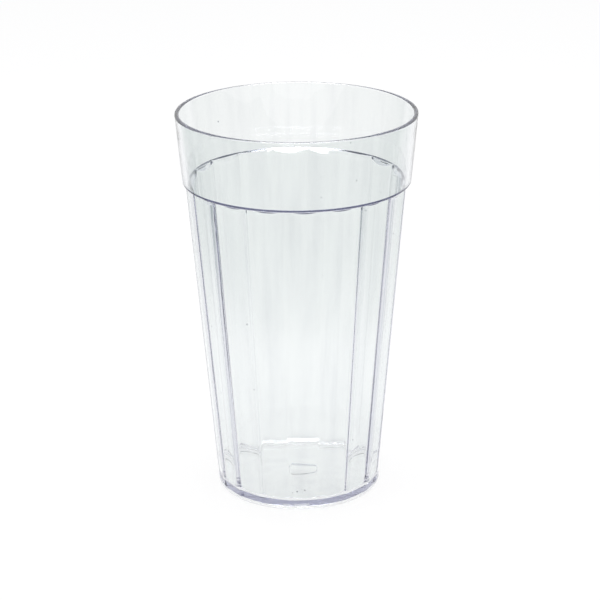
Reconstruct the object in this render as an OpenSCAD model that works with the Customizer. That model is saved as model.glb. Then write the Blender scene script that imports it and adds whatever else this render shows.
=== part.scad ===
// Clear plastic tumbler: a smooth tapered band at the rim, a stacking ledge under it, and a tapered
// body with panels all round, flat outside and gently crowned inside. One moulding. The origin is the
// middle of the base, on the ground.

/* [Rim and band] */
// Overall height, ground to rim
cup_h = 145.4; // [130:0.2:165]
// Diameter across the outside of the rim
rim_d = 89; // [86:0.5:94]
// Thickness of the lip at the rim
lip_t = 1.6; // [1.2:0.1:2.4]
// Radius on both edges of the lip
lip_edge_r = 0.7; // [0.2:0.1:1.2]
// Height of the smooth band, rim to the underside of the stacking ledge
band_h = 26.2; // [18:0.2:40]
// How far the stacking ledge stands out beyond the ridges of the body
ledge_step = 1.1; // [0.8:0.1:1.8]
// Thickness of the band just above the ledge
band_t = 2.4; // [1.8:0.1:2.8]
// Radius on the lower edge of the ledge
ledge_edge_r = 1; // [0.2:0.1:1.2]

/* [Panelled body] */
// Number of flat panels round the body
panel_n = 18; // [14:1:24]
// Diameter across the ridges, right under the ledge
body_top_d = 82; // [78:0.5:84]
// Diameter across the ridges, at the ground
body_base_d = 61.4; // [56:0.2:68]
// Wall thickness at the middle of a panel
wall_t = 2; // [1.8:0.1:2.6]
// Width of the softened land along each ridge
ridge_w = 0.3; // [0.1:0.05:0.8]
// Radius of the crown on the inner side of each panel
crown_r = 30; // [26:1:60]
// Width of the softened groove between two crowns
groove_w = 0.4; // [0.2:0.1:0.8]

/* [Inside] */
// Thickness of the floor over the recess under the base
floor_t = 1.8; // [1.4:0.1:4]
// Rise of the floor and of the recess under it, from the side to the middle
dome_h = 1.2; // [0.2:0.1:3]
// Radius between the floor and the inner wall
floor_corner_r = 8; // [2:0.5:10]
// Height of the sloping shoulder inside, level with the ledge
shoulder_h = 2.2; // [1.5:0.1:5]
// Radius where the inside of the band meets the shoulder
shoulder_r = 0.8; // [0.2:0.1:1]

/* [Base] */
// Height of the round foot left below the panels
foot_h = 0.9; // [0.7:0.1:4]
// Radius on the edges of the foot
foot_edge_r = 0.6; // [0.1:0.1:0.6]
// Width of the flat ring that the cup stands on, in from the side of the foot
ring_w = 3.5; // [2.5:0.5:10]
// Depth of the recess inside the ring
recess_h = 0.5; // [0.2:0.1:2]
// Diameter of the moulding gate's dimple, in the middle of the recess
gate_d = 2.8; // [2:0.2:6]
// Depth of the dimple
gate_h = 0.4; // [0.2:0.1:0.8]

/* [Hidden] */
$fn = 144;
plastic = [0.86, 0.89, 0.9, 0.45];

// Half the angle of one panel, as seen from above
half_panel = 180 / panel_n;
ledge_z = cup_h - band_h;
// The revolved body stands just inside the sharp ridges, which leaves a land on each
land_cut = ridge_w / 2 * tan(half_panel);
foot_r = body_base_d / 2 - land_cut;
// Distance from the axis to the middle of a panel, at the ground and under the ledge
panel_low = body_base_d / 2 * cos(half_panel);
panel_high = body_top_d / 2 * cos(half_panel);
// The inside of the cup, from the floor up
floor_z = recess_h + floor_t;
shoulder_z = ledge_z - shoulder_h / 2;
lip_r = min(lip_edge_r, 0.45 * lip_t);
ledge_r = body_top_d / 2 + ledge_step;
// Slope of the panels from the upright
lean = atan((panel_high - panel_low) / ledge_z);

// Distance from the axis to the middle of a panel, at height z
function panel_r(z) = panel_low + (panel_high - panel_low) * z / ledge_z;
// Distance from the axis to the middle line that a panel's crown turns round, at height z
function crown_axis(z) = panel_r(z) - wall_t + crown_r;
// Distance from the axis to the bottom of the softened groove, where two crowns meet
function groove_r(z) =
    crown_axis(z) * cos(half_panel) - sqrt(crown_r ^ 2 - (crown_axis(z) * sin(half_panel)) ^ 2)
    - groove_w / 2 * tan(2 * half_panel);

// Corners of the wall's section, from the gate's dimple out, up the outside and down the inside.
// Each has its radius and height, and the radius that rounds it.
wall_section = [
    [[0, recess_h + dome_h + gate_h], 0],
    [[gate_d / 2, recess_h + dome_h + gate_h], 0],
    [[gate_d / 2, recess_h + dome_h], 0],
    [[foot_r - ring_w, recess_h], 0],
    [[foot_r - ring_w, 0], 0],
    [[foot_r, 0], foot_edge_r],
    [[body_top_d / 2 - land_cut, ledge_z], 0],
    [[ledge_r, ledge_z], ledge_edge_r],
    [[rim_d / 2, cup_h], lip_r],
    [[rim_d / 2 - lip_t, cup_h], lip_r],
    [[ledge_r - band_t, shoulder_z + shoulder_h], shoulder_r],
    [[groove_r(shoulder_z), shoulder_z], 0],
    [[groove_r(floor_z), floor_z], floor_corner_r],
    [[0, floor_z + dome_h], 0],
];

// Where the crowns may stand: inside the wall and the floor, and up to the sloping shoulder
crown_region = [
    [panel_r(0) / 2, floor_z / 2],
    [panel_r(floor_z / 2) - wall_t / 3, floor_z / 2],
    [panel_r(shoulder_z) - wall_t / 3, shoulder_z],
    [panel_r(shoulder_z) - wall_t - shoulder_h, shoulder_z - shoulder_h / 2],
    [panel_r(0) / 2, shoulder_z - shoulder_h],
];

function unit(v) = v / norm(v);

// The rounding of the corner at b, between its neighbours a and c: how far it reaches along the
// sides, where its middle is, and whether the outline turns left there, so that the corner points out
function reach(a, b, c, r) = r / tan(acos(unit(a - b) * unit(c - b)) / 2);
function middle(a, b, c, r) =
    b + unit(unit(a - b) + unit(c - b)) * norm([r, reach(a, b, c, r)]);
function points_out(a, b, c) = cross(b - a, c - b) > 0;

// A closed outline that runs anticlockwise, with its corners rounded. The corners are cut straight
// where their arcs start and end, and a circle then makes each arc.
module rounded_outline(corners) {
    n = len(corners);
    at = [for (corner = corners) corner[0]];
    r = [for (corner = corners) corner[1]];
    back = [for (i = [0 : n - 1]) at[(i + n - 1) % n]];
    on = [for (i = [0 : n - 1]) at[(i + 1) % n]];
    cut = [for (i = [0 : n - 1]) r[i] > 0 ? reach(back[i], at[i], on[i], r[i]) : 0];
    difference() {
        union() {
            polygon([for (i = [0 : n - 1]) each r[i] == 0 ? [at[i]] : [
                at[i] + unit(back[i] - at[i]) * cut[i],
                at[i] + unit(on[i] - at[i]) * cut[i]]]);
            for (i = [0 : n - 1]) if (r[i] > 0 && points_out(back[i], at[i], on[i]))
                translate(middle(back[i], at[i], on[i], r[i])) circle(r[i]);
        }
        for (i = [0 : n - 1]) if (r[i] > 0 && !points_out(back[i], at[i], on[i]))
            translate(middle(back[i], at[i], on[i], r[i])) circle(r[i]);
    }
}

// What one flat panel takes off the side of the body
module panel_cut() {
    far = rim_d;
    rotate([90, 0, 0]) linear_extrude(far, center = true)
        polygon([[panel_r(foot_h), foot_h], [far, foot_h], [far, ledge_z], [panel_high, ledge_z]]);
}

// The crown on the inner side of one panel, a large round bar that leans with the panel
module crown() {
    intersection() {
        rotate_extrude() polygon(crown_region);
        translate([panel_low - wall_t, 0, 0]) rotate([0, lean, 0])
            translate([crown_r, 0, -cup_h]) cylinder(r = crown_r, h = 2 * cup_h);
    }
}

module tumbler() {
    color(plastic) difference() {
        union() {
            rotate_extrude() rounded_outline(wall_section);
            for (i = [0 : panel_n - 1]) rotate((2 * i + 1) * half_panel - 90) crown();
        }
        for (i = [0 : panel_n - 1]) rotate((2 * i + 1) * half_panel - 90) panel_cut();
    }
}

tumbler();
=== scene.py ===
"""A clear moulded tumbler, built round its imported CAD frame, with its stage, lights and camera."""

import math

import bpy
import numpy as np
from bpy.props import FloatProperty, IntProperty, PointerProperty, StringProperty
from mathutils import Matrix, Vector


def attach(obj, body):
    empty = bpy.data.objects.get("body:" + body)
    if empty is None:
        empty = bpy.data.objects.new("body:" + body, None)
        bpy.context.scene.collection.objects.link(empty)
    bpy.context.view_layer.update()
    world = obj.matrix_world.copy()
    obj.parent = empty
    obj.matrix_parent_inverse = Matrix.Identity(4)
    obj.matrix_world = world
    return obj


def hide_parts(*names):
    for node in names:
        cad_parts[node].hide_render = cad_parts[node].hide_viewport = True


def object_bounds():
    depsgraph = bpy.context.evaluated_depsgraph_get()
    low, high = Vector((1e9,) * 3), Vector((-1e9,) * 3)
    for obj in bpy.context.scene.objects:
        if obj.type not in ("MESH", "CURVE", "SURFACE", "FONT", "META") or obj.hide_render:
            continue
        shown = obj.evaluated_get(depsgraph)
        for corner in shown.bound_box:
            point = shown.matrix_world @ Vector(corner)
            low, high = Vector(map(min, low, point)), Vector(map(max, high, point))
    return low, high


bl_info = {
    "name": "Clear Plastic Tumbler",
    "version": (1, 0, 0),
    "blender": (4, 5, 0),
    "location": "View3D > Sidebar > Tumbler",
    "description": "Builds a clear moulded tumbler with its stage, lights and camera",
    "category": "Object",
}

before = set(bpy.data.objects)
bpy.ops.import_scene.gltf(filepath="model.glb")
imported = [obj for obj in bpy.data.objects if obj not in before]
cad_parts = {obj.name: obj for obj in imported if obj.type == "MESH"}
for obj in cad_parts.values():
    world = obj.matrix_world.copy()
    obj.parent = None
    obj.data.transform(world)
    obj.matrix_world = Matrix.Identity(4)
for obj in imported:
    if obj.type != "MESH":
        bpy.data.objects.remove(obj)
cad_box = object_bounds()
MM = 0.001
PIECE = "tumbler_moulding"
NODE = "tumbler"
# The stage, in metres and watts
TABLE_HALF = 1.5
SOFTBOX_SIDE = 0.8
SOFTBOX_HEIGHT = 1.2
SOFTBOX_POWER = 19.0
# Light passes the clear walls many times before it leaves the cup
LIGHT_BOUNCES = 32
# The photograph's frame and the focal length that fits it, in pixels, and Blender's film in mm
FRAME_WIDTH = 600
FOCAL_LENGTH = 2050
FILM_WIDTH = 36


class TumblerSizes(bpy.types.PropertyGroup):
    """Sizes of the moulding.

    They are the CAD model's, apart from the band's thickness, the shoulder, the floor corner and the
    gate's dimple, which are set by the lines that they draw in the clear wall.
    """

    cup_h: FloatProperty(
        name="Height", description="Ground to rim", default=cad_box[1].z, unit="LENGTH")
    rim_d: FloatProperty(
        name="Rim diameter", description="Across the outside of the rim",
        default=cad_box[1].x - cad_box[0].x, unit="LENGTH")
    lip_t: FloatProperty(
        name="Lip thickness", description="Thickness of the lip at the rim",
        default=1.6 * MM, unit="LENGTH")
    lip_edge_r: FloatProperty(
        name="Lip radius", description="Radius on both edges of the lip",
        default=0.7 * MM, unit="LENGTH")
    band_h: FloatProperty(
        name="Band height", description="Rim to the underside of the stacking ledge",
        default=26.2 * MM, unit="LENGTH")
    ledge_step: FloatProperty(
        name="Ledge step", description="How far the ledge stands out beyond the ridges",
        default=1.1 * MM, unit="LENGTH")
    band_t: FloatProperty(
        name="Band thickness", description="Wall thickness just above the ledge",
        default=1.75 * MM, unit="LENGTH")
    ledge_edge_r: FloatProperty(
        name="Ledge radius", description="Radius on the lower edge of the ledge",
        default=1.0 * MM, unit="LENGTH")
    panel_n: IntProperty(name="Panels", description="Number of flat panels", default=18)
    body_top_d: FloatProperty(
        name="Body top", description="Across the ridges, right under the ledge",
        default=82 * MM, unit="LENGTH")
    body_base_d: FloatProperty(
        name="Body base", description="Across the ridges, at the ground",
        default=61.4 * MM, unit="LENGTH")
    wall_t: FloatProperty(
        name="Wall", description="Wall thickness at the middle of a panel",
        default=2.0 * MM, unit="LENGTH")
    ridge_w: FloatProperty(
        name="Ridge land", description="Width of the softened land along each ridge",
        default=0.3 * MM, unit="LENGTH")
    crown_r: FloatProperty(
        name="Crown radius", description="Radius of the crown on the inner side of a panel",
        default=30 * MM, unit="LENGTH")
    groove_w: FloatProperty(
        name="Groove width", description="Width of the softened groove between two crowns",
        default=0.4 * MM, unit="LENGTH")
    floor_t: FloatProperty(
        name="Floor", description="Thickness of the floor over the recess",
        default=1.8 * MM, unit="LENGTH")
    dome_h: FloatProperty(
        name="Dome", description="Rise of the floor from the side to the middle",
        default=1.2 * MM, unit="LENGTH")
    floor_corner_r: FloatProperty(
        name="Floor corner", description="Radius between the floor and the inner wall",
        default=4.0 * MM, unit="LENGTH")
    shoulder_h: FloatProperty(
        name="Shoulder", description="Height in which the inner panels run out under the shoulder",
        default=2.2 * MM, unit="LENGTH")
    shoulder_up: FloatProperty(
        name="Shoulder top", description="Height of the top of the shoulder above the ledge",
        default=0.95 * MM, unit="LENGTH")
    shoulder_slope: FloatProperty(
        name="Shoulder slope", description="Fall of the shoulder for each step in", default=1.0)
    shoulder_r: FloatProperty(
        name="Shoulder radius", description="Radius where the inside of the band meets the shoulder",
        default=0.15 * MM, unit="LENGTH")
    foot_h: FloatProperty(
        name="Foot height", description="Height of the round foot below the panels",
        default=0.9 * MM, unit="LENGTH")
    foot_edge_r: FloatProperty(
        name="Foot radius", description="Radius on the bottom edge of the foot",
        default=0.6 * MM, unit="LENGTH")
    ring_w: FloatProperty(
        name="Ring width", description="Width of the flat ring that the cup stands on",
        default=3.5 * MM, unit="LENGTH")
    recess_h: FloatProperty(
        name="Recess", description="Depth of the recess inside the ring",
        default=0.5 * MM, unit="LENGTH")
    gate_d: FloatProperty(
        name="Gate dimple", description="Diameter of the moulding gate's dimple",
        default=9.6 * MM, unit="LENGTH")
    gate_h: FloatProperty(
        name="Gate depth", description="Depth of the gate's dimple",
        default=0.9 * MM, unit="LENGTH")
    soft: FloatProperty(
        name="Corner softness", description="Tiny radius where the panels meet foot and ledge",
        default=0.15 * MM, unit="LENGTH")


class TumblerLooks(bpy.types.PropertyGroup):
    """Colours and optical values of the plastic and its stage."""

    skin: StringProperty(
        name="Skin", description="sRGB colour that light takes as it passes a wall", default="#fbfdfc")
    streak: StringProperty(
        name="Flow streak", description="sRGB colour of the skin in a flow streak", default="#f3f5f5")
    speck: StringProperty(
        name="Speck", description="sRGB colour of a speck in the skin", default="#70767c")
    tint: StringProperty(
        name="Tint", description="sRGB colour that a long way through the plastic takes",
        default="#6a6ea9")
    tint_depth: FloatProperty(
        name="Tint density", description="Absorption per metre", default=17.0)
    room: StringProperty(
        name="Room", description="sRGB colour of the room above the light", default="#26284a")
    # Painted shade: the plastic's reflections show the table in this darker colour, standing in for a dim
    # room
    near: StringProperty(
        name="Table's near edge", description="sRGB colour of the table out of view, at the camera's side",
        default="#9aaaa3")
    streak_scale: FloatProperty(
        name="Streak scale", description="Flow streaks per metre across the wall", default=240.0)
    streak_length: FloatProperty(
        name="Streak length", description="Scale of the streaks along the wall, as a share of that across",
        default=0.07)
    speck_scale: FloatProperty(
        name="Speck scale", description="Cells per metre, of which a few hold a speck", default=400.0)
    speck_share: FloatProperty(
        name="Speck share", description="Share of the cells that hold a speck", default=0.01)
    speck_r: FloatProperty(
        name="Speck radius", description="Radius of a speck, as a share of its cell", default=0.12)
    wave_scale: FloatProperty(
        name="Wave scale", description="Waves per metre in the polish of the mould", default=65.0)
    wave_h: FloatProperty(
        name="Wave height", description="Height of the waves in the polish of the mould",
        default=0.04 * MM, unit="LENGTH")
    ior: FloatProperty(
        name="IOR", description="Refractive index of clear SAN", default=1.57)
    floor: StringProperty(name="Floor", description="sRGB colour of the floor", default="#fbfbfb")


def linear(code):
    """sRGB hex colour to linear red, green, blue and alpha."""
    c = np.array([int(code[i:i + 2], 16) for i in (1, 3, 5)]) / 255
    rgb = np.where(c <= 0.04045, c / 12.92, ((c + 0.055) / 1.055) ** 2.4)
    return (*rgb.tolist(), 1.0)


def add(tree, kind, settings=None, **links):
    """Adds a node, sets its properties and input values, and links its inputs.

    A setting whose name is a property is set there, and any other is an input's default value.
    A link's name is the input with _ for a space, and its value is the output it comes from.
    """
    made = tree.nodes.new(kind)
    for name, value in (settings or {}).items():
        if isinstance(name, str) and hasattr(made, name):
            setattr(made, name, value)
        else:
            made.inputs[name].default_value = value
    for name, output in links.items():
        key = int(name[1:]) if name[0] == "i" and name[1:].isdigit() else name.replace("_", " ")
        tree.links.new(output, made.inputs[key])
    return made


def arc_path(corners, radii, steps):
    """Points along an open path with round corners, one array of radius and height.

    At a corner the path leaves one side at a tangent point and joins the next at another. Between
    them a point is the arc's middle, plus the radius times the cosine and sine of an angle that
    runs evenly from one tangent point's direction to the other's.
    """
    pieces = [corners[:1]]
    for before, corner, after, r in zip(corners[:-2], corners[1:-1], corners[2:], radii[1:-1]):
        if r == 0:
            pieces.append(corner[None])
            continue
        u = (before - corner) / np.linalg.norm(before - corner)
        v = (after - corner) / np.linalg.norm(after - corner)
        half = math.acos(np.clip(u @ v, -1, 1)) / 2
        reach = r / math.tan(half)
        middle = corner + (u + v) / np.linalg.norm(u + v) * math.hypot(r, reach)
        start, end = corner + u * reach - middle, corner + v * reach - middle
        a = math.atan2(start[1], start[0])
        turn = (math.atan2(end[1], end[0]) - a + math.pi) % (2 * math.pi) - math.pi
        t = a + turn * np.linspace(0, 1, steps + 1)
        pieces.append(middle + r * np.column_stack([np.cos(t), np.sin(t)]))
    pieces.append(corners[-1:])
    return np.vstack(pieces)


def panel_distance(s, z):
    """Distance from the axis to the middle of a panel at height z."""
    share = z / (s.cup_h - s.band_h)
    return (s.body_base_d + (s.body_top_d - s.body_base_d) * share) / 2 * math.cos(math.pi / s.panel_n)


def crown_distance(s, z, t):
    """Distance from the axis to the inner side at height z, an angle t from a panel's middle.

    The inner side is a round bar of radius R whose middle line is S from the axis, so the distance
    is S cos t - sqrt(R^2 - (S sin t)^2), and no more than the softened groove leaves.
    """
    axis = panel_distance(s, z) - s.wall_t + s.crown_r
    reach = lambda a: axis * np.cos(a) - np.sqrt(s.crown_r ** 2 - (axis * np.sin(a)) ** 2)
    half = math.pi / s.panel_n
    return np.minimum(reach(t), reach(half) - s.groove_w / 2 * math.tan(2 * half))


def shoulder_heights(s):
    """Heights of the shoulder inside: at the band, and where it reaches the grooves between crowns."""
    ledge_z = s.cup_h - s.band_h
    band_r = s.body_top_d / 2 + s.ledge_step - s.band_t
    groove = float(crown_distance(s, ledge_z, math.pi / s.panel_n))
    return ledge_z + s.shoulder_up, ledge_z + s.shoulder_up - (band_r - groove) * s.shoulder_slope


def soft_min(a, b, width):
    """The lesser of a and b, blended over the width: min(a, b) - max(width - |a - b|, 0)^2 / 4 width."""
    return np.minimum(a, b) - np.maximum(width - np.abs(a - b), 0) ** 2 / (4 * width)


ROUND, FLAT, CROWN, SHOULDER = range(4)


def section_rows(s):
    """The wall's section as rows of (radius, height, kind, extra).

    The rows run from the middle of the underside, out and up the outside, over the lip and down
    the inside to the middle of the floor. A round row has its own radius. A flat row takes its
    radius from the outer panels and stands off by its extra, up to its own radius. A shoulder row
    runs over the top of the crowns, and its extra is the share of the way in. A crown row is the
    lesser of its own radius and the crown's, and its extra is how much of the shoulder's slope it
    still follows.
    """
    half = math.pi / s.panel_n
    cut = s.ridge_w / 2 * math.tan(half)
    ledge_z = s.cup_h - s.band_h
    foot_r, body_r = s.body_base_d / 2 - cut, s.body_top_d / 2 - cut
    ledge_r = s.body_top_d / 2 + s.ledge_step
    floor_z = s.recess_h + s.floor_t
    shoulder_top, shoulder_z = shoulder_heights(s)
    cone_r = lambda z: foot_r + (body_r - foot_r) * z / ledge_z
    groove_r = lambda z: float(crown_distance(s, z, half))
    lip_r = min(s.lip_edge_r, 0.45 * s.lip_t)
    e = s.soft
    # Steps in each rounded corner
    foot_steps, lip_steps, floor_steps = 6, 12, 32
    ring_r = foot_r - s.ring_w
    dome_z = s.recess_h + s.dome_h
    top = dome_z + s.gate_h
    under = arc_path(np.array([
        [0.25 * s.gate_d, top], [s.gate_d / 2, top], [s.gate_d / 2, dome_z],
        [ring_r, s.recess_h], [ring_r, 0], [foot_r, 0], [cone_r(s.foot_h - e), s.foot_h - e]]),
        [0, e, e, e, e, s.foot_edge_r, 0], foot_steps)
    outer = arc_path(np.array([
        [body_r + e, ledge_z], [ledge_r, ledge_z], [s.rim_d / 2, s.cup_h],
        [s.rim_d / 2 - s.lip_t, s.cup_h], [ledge_r - s.band_t, shoulder_top],
        [groove_r(shoulder_z), shoulder_z]]),
        [0, s.ledge_edge_r, lip_r, lip_r, s.shoulder_r, 0], lip_steps)
    start_z = shoulder_z - s.shoulder_h
    inner = arc_path(np.array([
        [groove_r(start_z), start_z], [groove_r(floor_z), floor_z], [0.35 * s.gate_d, floor_z + s.dome_h]]),
        [0, s.floor_corner_r, 0], floor_steps)
    high = s.rim_d
    body_z = np.linspace(s.foot_h + e, ledge_z - e, 9)
    step = np.array([
        [cone_r(s.foot_h) - 0.3 * e, s.foot_h - 0.3 * e, high],
        [cone_r(s.foot_h) - e, s.foot_h, high],
        [cone_r(s.foot_h), s.foot_h, e],
        [high, s.foot_h + 0.3 * e, 0.3 * e],
        *([high, z, 0] for z in body_z),
        [high, ledge_z - 0.3 * e, 0.3 * e]])
    over = np.array([0.08, 0.3, 0.6, 0.85, 0.95, 1.0])
    fade = np.array([1, 1, 1, 0.6, 0.3])
    fade_z = shoulder_z - s.shoulder_h * np.array([0.04, 0.1, 0.2, 0.5, 0.75])
    wall_z = np.linspace(start_z, inner[1, 1], 8)[1:-1]
    blank = lambda like, kind: np.column_stack([np.full(len(like), kind), np.zeros(len(like))])
    rows = np.vstack([
        np.column_stack([under, blank(under, ROUND)]),
        np.column_stack([step[:, :2], np.full(len(step), FLAT), step[:, 2]]),
        [[body_r + e, ledge_z, FLAT, e]],
        np.column_stack([outer[1:], blank(outer[1:], ROUND)]),
        np.column_stack([np.tile([groove_r(shoulder_z), shoulder_z, SHOULDER], (len(over), 1)), over]),
        np.column_stack([[groove_r(z) for z in fade_z], fade_z, np.full(len(fade), CROWN), fade]),
        np.column_stack([inner[:1], blank(inner[:1], CROWN)]),
        np.column_stack([[groove_r(z) for z in wall_z], wall_z, blank(wall_z, CROWN)]),
        np.column_stack([inner[1:], blank(inner[1:], CROWN)])])
    return rows, (top, floor_z + s.dome_h)


def panel_columns(s):
    """Angles round the axis, from one ridge to the next for every panel, closer by the ridges."""
    panel = 2 * math.pi / s.panel_n
    wide_steps = 13
    near = np.radians([0, 0.12, 0.25, 0.4, 0.7])
    wide = np.linspace(near[-1], panel / 2, wide_steps + 1)[1:]
    half = np.concatenate([near, wide])
    one = np.concatenate([half, panel - half[-2:0:-1]])
    return (one + panel * np.arange(s.panel_n)[:, None]).ravel() - math.pi / 2


def moulding_points(s):
    """Grid of points of the whole moulding: rows along the wall's section, columns round the axis.

    A point is (r cos a, r sin a, z). The radius r goes by the row's kind: on a flat row it is the
    panel's distance from the axis over the cosine of the angle from the panel's middle, no further
    out than the land on the ridges, and on a crown row the crown's distance. Over the top of the
    crowns z falls by the shoulder's slope for each step in.
    """
    rows, poles = section_rows(s)
    angle = panel_columns(s)
    panel = 2 * math.pi / s.panel_n
    r, z, kind, extra = (c[:, None] for c in rows.T)
    t = (angle + math.pi / 2) % panel - panel / 2
    cut = s.ridge_w / 2 * math.tan(panel / 2)
    middle = panel_distance(s, z)
    flat = np.minimum(middle / np.cos(t), middle / math.cos(panel / 2) - cut)
    flat = np.maximum(flat, np.minimum(flat + extra, r))
    shoulder_z = shoulder_heights(s)[1]
    groove = float(crown_distance(s, shoulder_z, panel / 2))
    drop = (groove - crown_distance(s, shoulder_z, t)) * s.shoulder_slope
    over = groove + (crown_distance(s, shoulder_z, t) - groove) * extra
    crown = crown_distance(s, z, t)
    crown = np.where(z > shoulder_z - s.shoulder_h, np.minimum(crown, r), soft_min(crown, r, 2 * s.soft))
    radius = np.select([kind == ROUND, kind == FLAT, kind == SHOULDER], [r + 0 * t, flat, over], crown)
    height = z - np.select([kind == SHOULDER, kind == CROWN], [extra * drop, extra * drop], 0 * t)
    return np.stack([radius * np.cos(angle), radius * np.sin(angle), height], axis=-1), poles


def grid_mesh(name, points, poles):
    """A closed mesh from a grid that wraps round, with a point on the axis at each end.

    Each corner's normal is the sum of the faces round it, every face counting by its area, so the
    broad faces stay true and the narrow strips between them turn the light smoothly. A corner whose
    faces have no area, where rows meet in a groove, keeps Blender's own normal.
    """
    rows, cols = points.shape[:2]
    verts = np.vstack([points.reshape(-1, 3), [[0, 0, poles[0]], [0, 0, poles[1]]]])
    i, j = np.meshgrid(np.arange(rows - 1), np.arange(cols), indexing="ij")
    k = (j + 1) % cols
    quads = np.stack([i * cols + j, i * cols + k, (i + 1) * cols + k, (i + 1) * cols + j], -1)
    quads = quads.reshape(-1, 4)
    ring = np.arange(cols)
    after = (ring + 1) % cols
    low, high = rows * cols, rows * cols + 1
    last = (rows - 1) * cols
    fans = np.vstack([
        np.column_stack([np.full(cols, low), after, ring]),
        np.column_stack([np.full(cols, high), last + ring, last + after])])
    normals = np.zeros_like(verts)
    across = np.cross(verts[quads[:, 2]] - verts[quads[:, 0]], verts[quads[:, 3]] - verts[quads[:, 1]])
    for c in range(4):
        np.add.at(normals, quads[:, c], across)
    across = np.cross(verts[fans[:, 1]] - verts[fans[:, 0]], verts[fans[:, 2]] - verts[fans[:, 0]])
    for c in range(3):
        np.add.at(normals, fans[:, c], across)
    length = np.linalg.norm(normals, axis=1, keepdims=True)
    normals /= np.where(length > 0, length, 1)
    mesh = bpy.data.meshes.new(name)
    mesh.vertices.add(len(verts))
    mesh.vertices.foreach_set("co", verts.astype(np.float32).ravel())
    corners = np.concatenate([quads.ravel(), fans.ravel()])
    mesh.loops.add(len(corners))
    mesh.loops.foreach_set("vertex_index", corners.astype(np.int32))
    mesh.polygons.add(len(quads) + len(fans))
    starts = np.concatenate([4 * np.arange(len(quads)), 4 * len(quads) + 3 * np.arange(len(fans))])
    mesh.polygons.foreach_set("loop_start", starts.astype(np.int32))
    mesh.update(calc_edges=True)
    mesh.validate()
    mesh.shade_smooth()
    mesh.normals_split_custom_set_from_vertices(normals.tolist())
    return mesh


def clear_plastic(looks):
    """Clear styrene acrylonitrile, polished mould finish, after some use.

    It is water-clear, with a violet tint that shows where light runs a long way inside the wall.
    The skin has faint upright flow streaks, a few specks about half a millimetre across and a slight
    waviness.
    """
    material = bpy.data.materials.new("clear_san_polished_mould")
    material.use_nodes = True
    tree = material.node_tree
    tree.nodes.clear()
    place = add(tree, "ShaderNodeTexCoord").outputs["Object"]
    # Flow streaks some 4 mm wide, drawn out along the wall
    drawn = add(tree, "ShaderNodeMapping", {"Scale": (1, 1, looks.streak_length)}, Vector=place)
    flow = add(tree, "ShaderNodeTexNoise", {"Scale": looks.streak_scale, "Detail": 3.0},
               Vector=drawn.outputs[0])
    flow = add(tree, "ShaderNodeMapRange", {"From Min": 0.45, "From Max": 0.75}, i0=flow.outputs[0])
    skin = add(tree, "ShaderNodeMix", {"data_type": "RGBA", 6: linear(looks.skin), 7: linear(looks.streak)},
               i0=flow.outputs[0])
    # Specks, each in the middle of a cell that chance has chosen
    cells = add(tree, "ShaderNodeTexVoronoi", {"Scale": looks.speck_scale}, Vector=place)
    chance = add(tree, "ShaderNodeSeparateColor", None, Color=cells.outputs["Color"])
    chosen = add(tree, "ShaderNodeMath", {"operation": "GREATER_THAN", 1: 1 - looks.speck_share},
                 i0=chance.outputs[0])
    small = add(tree, "ShaderNodeMath", {"operation": "LESS_THAN", 1: looks.speck_r},
                i0=cells.outputs["Distance"])
    speck = add(tree, "ShaderNodeMath", {"operation": "MULTIPLY"}, i0=chosen.outputs[0], i1=small.outputs[0])
    colour = add(tree, "ShaderNodeMix", {"data_type": "RGBA", 7: linear(looks.speck)},
                 i0=speck.outputs[0], i6=skin.outputs[2])
    # Waviness of the mould, some 15 mm from crest to crest
    wavy = add(tree, "ShaderNodeTexNoise", {"Scale": looks.wave_scale, "Detail": 1.0}, Vector=place)
    wavy = add(tree, "ShaderNodeBump", {"Strength": 1.0, "Distance": looks.wave_h}, Height=wavy.outputs[0])
    surface = add(tree, "ShaderNodeBsdfPrincipled", {
        "Roughness": 0.0, "IOR": looks.ior, "Transmission Weight": 1.0},
        Base_Color=colour.outputs[2], Normal=wavy.outputs[0])
    inside = add(tree, "ShaderNodeVolumeAbsorption", {
        "Color": linear(looks.tint), "Density": looks.tint_depth})
    add(tree, "ShaderNodeOutputMaterial", None, Surface=surface.outputs[0], Volume=inside.outputs[0])
    return material


class TUMBLER_OT_moulding(bpy.types.Operator):
    """Builds the one-piece moulding in place of its CAD solid"""

    bl_idname = "tumbler.moulding"
    bl_label = "Moulding"

    def execute(self, context):
        points, poles = moulding_points(context.scene.tumbler_sizes)
        piece = bpy.data.objects.new(PIECE, grid_mesh(PIECE, points, poles))
        context.scene.collection.objects.link(piece)
        piece.data.materials.append(clear_plastic(context.scene.tumbler_looks))
        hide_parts(NODE)
        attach(piece, "root")
        return {"FINISHED"}


def view_camera(scene):
    """A camera at the photograph's distance, height and angle."""
    azimuth, elevation, roll = math.radians(5.93), math.radians(19.84), math.radians(-0.40)
    distance, aim_right, aim_up = 0.76985, 0.00082, 0.07214
    right = Vector((math.cos(azimuth), math.sin(azimuth), 0))
    back = Vector((math.sin(azimuth) * math.cos(elevation),
                   -math.cos(azimuth) * math.cos(elevation), math.sin(elevation)))
    aim = right * aim_right + Vector((0, 0, aim_up))
    data = bpy.data.cameras.new("camera")
    data.sensor_width = FILM_WIDTH
    data.lens = FOCAL_LENGTH * FILM_WIDTH / FRAME_WIDTH
    camera = bpy.data.objects.new("camera", data)
    camera.location = aim + back * distance
    turn = (-back).to_track_quat("-Z", "Y").to_matrix().to_4x4() @ Matrix.Rotation(roll, 4, "Z")
    camera.rotation_euler = turn.to_euler()
    scene.collection.objects.link(camera)
    scene.camera = camera


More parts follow.
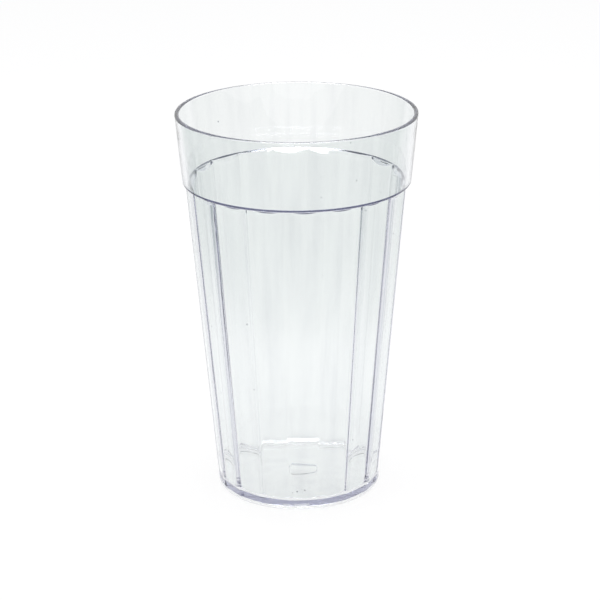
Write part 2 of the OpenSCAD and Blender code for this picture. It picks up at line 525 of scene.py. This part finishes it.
def floor_paint(looks):
    """Matt white table: full white to the camera and through the plastic, with its soft shadow.

    Away from the cup, at its sides and before it, the table is painted darker, and only where the plastic
    mirrors it: painted shade seen in reflections, as in a room that is lit from behind the object. The white
    zone's distance from the axis is the length of (x / (1 + spread * y), min(y, 0)), with y no less than 0
    in the first term, so that the zone widens towards the back.
    """
    white_to, dark_from, spread = 0.14, 0.26, 3.0
    glow_share = 0.9
    material = bpy.data.materials.new("matt_white_table")
    material.use_nodes = True
    tree = material.node_tree
    tree.nodes.clear()
    matt = add(tree, "ShaderNodeBsdfDiffuse", {"Color": linear(looks.floor)})
    place = add(tree, "ShaderNodeTexCoord")
    place = add(tree, "ShaderNodeSeparateXYZ", None, i0=place.outputs["Object"])
    front = add(tree, "ShaderNodeMath", {"operation": "MINIMUM", 1: 0.0}, i0=place.outputs["Y"])
    behind = add(tree, "ShaderNodeMath", {"operation": "MAXIMUM", 1: 0.0}, i0=place.outputs["Y"])
    widen = add(tree, "ShaderNodeMath", {"operation": "MULTIPLY_ADD", 1: spread, 2: 1.0},
                i0=behind.outputs[0])
    side = add(tree, "ShaderNodeMath", {"operation": "DIVIDE"}, i0=place.outputs["X"], i1=widen.outputs[0])
    place = add(tree, "ShaderNodeCombineXYZ", None, X=side.outputs[0], Y=front.outputs[0])
    away = add(tree, "ShaderNodeVectorMath", {"operation": "LENGTH"}, i0=place.outputs[0])
    # Painted shade: the table darkens away from its white zone round the cup
    near = add(tree, "ShaderNodeMapRange", {
        "interpolation_type": "SMOOTHSTEP", "From Min": white_to, "From Max": dark_from},
        i0=away.outputs["Value"])
    path = add(tree, "ShaderNodeLightPath")
    # 1 where the plastic has mirrored the light at least once, and 0 where it is seen straight through
    mirrored = add(tree, "ShaderNodeMath", {"operation": "MINIMUM", 1: 1.0},
                   i0=path.outputs["Glossy Depth"])
    near = add(tree, "ShaderNodeMath", {"operation": "MULTIPLY"},
               i0=near.outputs[0], i1=mirrored.outputs[0])
    # The painted shade's colour, mixed into the table's glow only for mirrored rays
    shade = add(tree, "ShaderNodeMix", {"data_type": "RGBA", 6: (1, 1, 1, 1), 7: linear(looks.near)},
                i0=near.outputs[0])
    glow = add(tree, "ShaderNodeEmission", {"Strength": 1.0}, Color=shade.outputs[2])
    seen = add(tree, "ShaderNodeMath", {"operation": "MAXIMUM"},
               i0=path.outputs["Is Camera Ray"], i1=path.outputs["Is Transmission Ray"])
    seen = add(tree, "ShaderNodeMath", {"operation": "MAXIMUM"},
               i0=seen.outputs[0], i1=path.outputs["Is Glossy Ray"])
    share = add(tree, "ShaderNodeMath", {"operation": "MULTIPLY", 1: glow_share}, i0=seen.outputs[0])
    both = add(tree, "ShaderNodeMixShader", None,
               i0=share.outputs[0], i1=matt.outputs[0], i2=glow.outputs[0])
    add(tree, "ShaderNodeOutputMaterial", None, Surface=both.outputs[0])
    return material


def studio_light(tree, looks):
    """White all round at the height of the table, and the dimmer room higher up.

    The two heights are the upward share of the direction looked in.
    """
    white_to, room_from = 0.42, 0.7
    sky = add(tree, "ShaderNodeTexCoord")
    up = add(tree, "ShaderNodeSeparateXYZ", None, i0=sky.outputs["Generated"])
    share = add(tree, "ShaderNodeMapRange", {
        "interpolation_type": "SMOOTHSTEP", "From Min": white_to, "From Max": room_from},
        i0=up.outputs["Z"])
    colour = add(tree, "ShaderNodeMix", {"data_type": "RGBA", 6: (1, 1, 1, 1), 7: linear(looks.room)},
                 i0=share.outputs[0])
    light = add(tree, "ShaderNodeBackground", {"Strength": 1.0}, Color=colour.outputs[2])
    add(tree, "ShaderNodeOutputWorld", None, Surface=light.outputs[0])


class TUMBLER_OT_stage(bpy.types.Operator):
    """Sets the white table, the light round it and the camera"""

    bl_idname = "tumbler.stage"
    bl_label = "Stage"

    def execute(self, context):
        scene = context.scene
        mesh = bpy.data.meshes.new("table")
        corners = [(x * TABLE_HALF, y * TABLE_HALF, 0) for x, y in ((-1, -1), (1, -1), (1, 1), (-1, 1))]
        mesh.from_pydata(corners, [], [(0, 1, 2, 3)])
        table = bpy.data.objects.new("table", mesh)
        table.data.materials.append(floor_paint(scene.tumbler_looks))
        scene.collection.objects.link(table)
        world = bpy.data.worlds.new("studio")
        scene.world = world
        world.use_nodes = True
        tree = world.node_tree
        tree.nodes.clear()
        studio_light(tree, scene.tumbler_looks)
        lamp = bpy.data.lights.new("overhead_softbox", "AREA")
        lamp.shape, lamp.size, lamp.energy = "SQUARE", SOFTBOX_SIDE, SOFTBOX_POWER
        softbox = bpy.data.objects.new("overhead_softbox", lamp)
        softbox.location = (0, 0, SOFTBOX_HEIGHT)
        scene.collection.objects.link(softbox)
        view_camera(scene)
        scene.view_settings.view_transform = "Standard"
        scene.cycles.max_bounces = LIGHT_BOUNCES
        scene.cycles.glossy_bounces = LIGHT_BOUNCES
        scene.cycles.transmission_bounces = LIGHT_BOUNCES
        return {"FINISHED"}


class TUMBLER_PT_panel(bpy.types.Panel):
    """Lists the tumbler's steps in the sidebar"""

    bl_idname = "TUMBLER_PT_panel"
    bl_label = "Clear Plastic Tumbler"
    bl_space_type = "VIEW_3D"
    bl_region_type = "UI"
    bl_category = "Tumbler"

    def draw(self, context):
        for operator in OPERATORS:
            self.layout.operator(operator.bl_idname)


OPERATORS = (TUMBLER_OT_moulding, TUMBLER_OT_stage)
CLASSES = (TumblerSizes, TumblerLooks, *OPERATORS, TUMBLER_PT_panel)


def register():
    for cls in CLASSES:
        bpy.utils.register_class(cls)
    bpy.types.Scene.tumbler_sizes = PointerProperty(type=TumblerSizes)
    bpy.types.Scene.tumbler_looks = PointerProperty(type=TumblerLooks)


def unregister():
    del bpy.types.Scene.tumbler_looks
    del bpy.types.Scene.tumbler_sizes
    for cls in reversed(CLASSES):
        bpy.utils.unregister_class(cls)


def main():
    """Registers the add-on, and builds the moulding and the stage."""
    register()
    bpy.ops.tumbler.moulding()
    bpy.ops.tumbler.stage()


if __name__ == "__main__":
    main()
